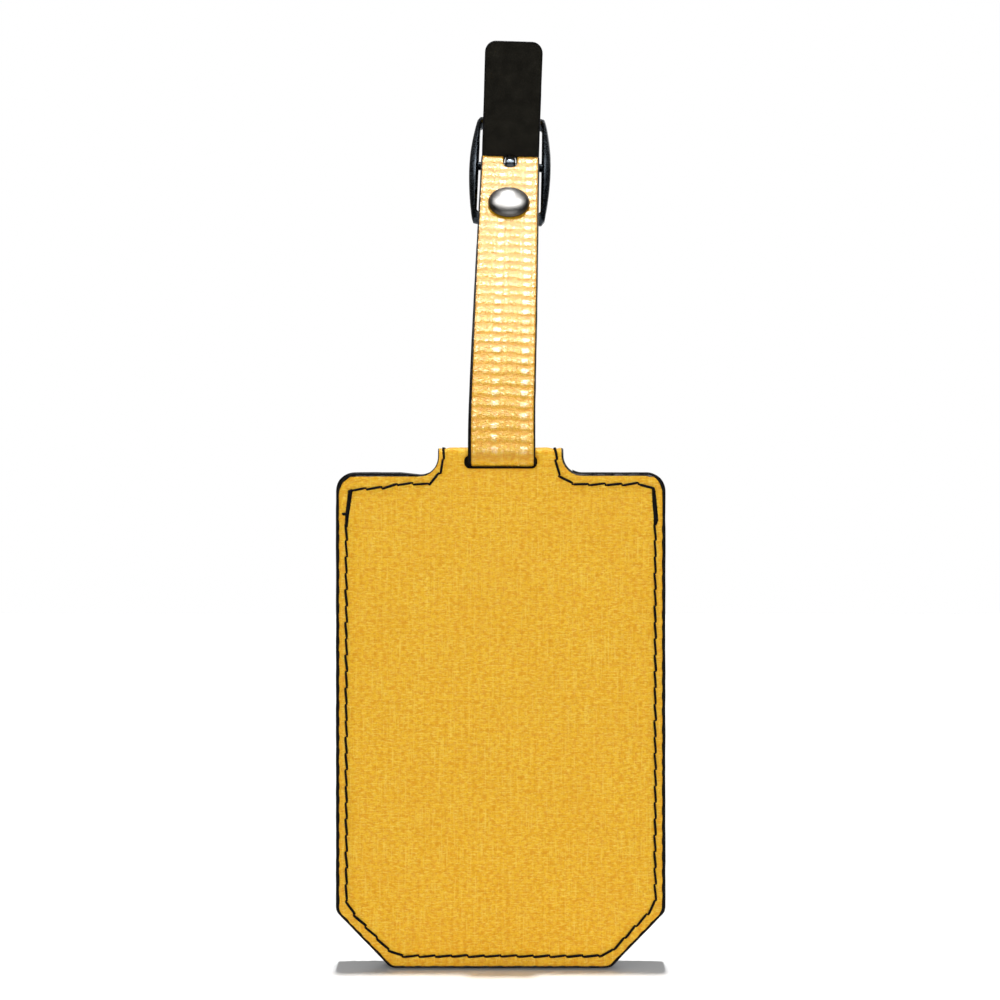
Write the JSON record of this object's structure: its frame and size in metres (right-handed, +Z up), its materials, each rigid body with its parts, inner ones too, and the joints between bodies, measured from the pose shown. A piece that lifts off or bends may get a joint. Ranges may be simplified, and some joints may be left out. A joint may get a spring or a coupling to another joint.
{
  "type": "luggage tag",
  "caption": "Yellow woven luggage tag with black stitched edges and a card pocket behind, hanging from a riveted strap with a gunmetal buckle.",
  "frame": {"origin": "middle of the strap's loop, where a bag's handle passes through it", "axes": "+Z up along the hanging tag, +Y from the tag's plain front to its card pocket, +X to the right seen from the front"},
  "size_m": [0.07, 0.053, 0.2127],
  "materials": {
    "coated_fabric": "satin",
    "lining": "matte",
    "edge_paint": "glossy",
    "thread": "matte",
    "board": "matte",
    "card": "matte",
    "clear_sheet": "glossy",
    "nickel": "polished",
    "gunmetal": "polished"
  },
  "bodies": {
    "strap": {"strap_face": "coated_fabric", "strap_lining": "lining", "rivet_cap": "nickel", "rivet_post": "nickel"},
    "tag": {"outer_cover": "coated_fabric", "edge_paint": "edge_paint", "cover_stiffener": "board", "pocket_lining": "lining", "card_window": "clear_sheet", "window_frame": "coated_fabric", "body_thread": "thread", "back_thread": "thread", "window_thread": "thread", "shoulder_thread_left": "thread", "shoulder_thread_right": "thread", "back_shoulder_thread_left": "thread", "back_shoulder_thread_right": "thread", "bar_tack_left": "thread", "bar_tack_right": "thread", "back_bar_tack_left": "thread", "back_bar_tack_right": "thread"},
    "card": {"address_card": "card"},
    "buckle": {"buckle_frame": "gunmetal", "buckle_bar": "gunmetal"},
    "prong": {"buckle_prong": "gunmetal"}
  },
  "joints": [
    {"name": "tag_swing", "type": "hinge", "parent": "strap", "child": "tag", "pos_m": [0, -0.025, -0.0409], "axis": [1, 0, 0], "range_deg": [-90, 25]},
    {"name": "card_slide", "type": "slide", "parent": "tag", "child": "card", "axis": [0, 0, 1], "range_m": [0, 0.01]},
    {"name": "buckle_rock", "type": "hinge", "parent": "strap", "child": "buckle", "pos_m": [0.00233, 0.015, 0.03147], "axis": [0.9995, 0, -0.0332], "range_deg": [-1.5, 1.5]},
    {"name": "prong_tilt", "type": "hinge", "parent": "buckle", "child": "prong", "pos_m": [0.00233, 0.015, 0.03147], "axis": [0.9995, 0, -0.0332], "range_deg": [0, 2.5]}
  ]
}
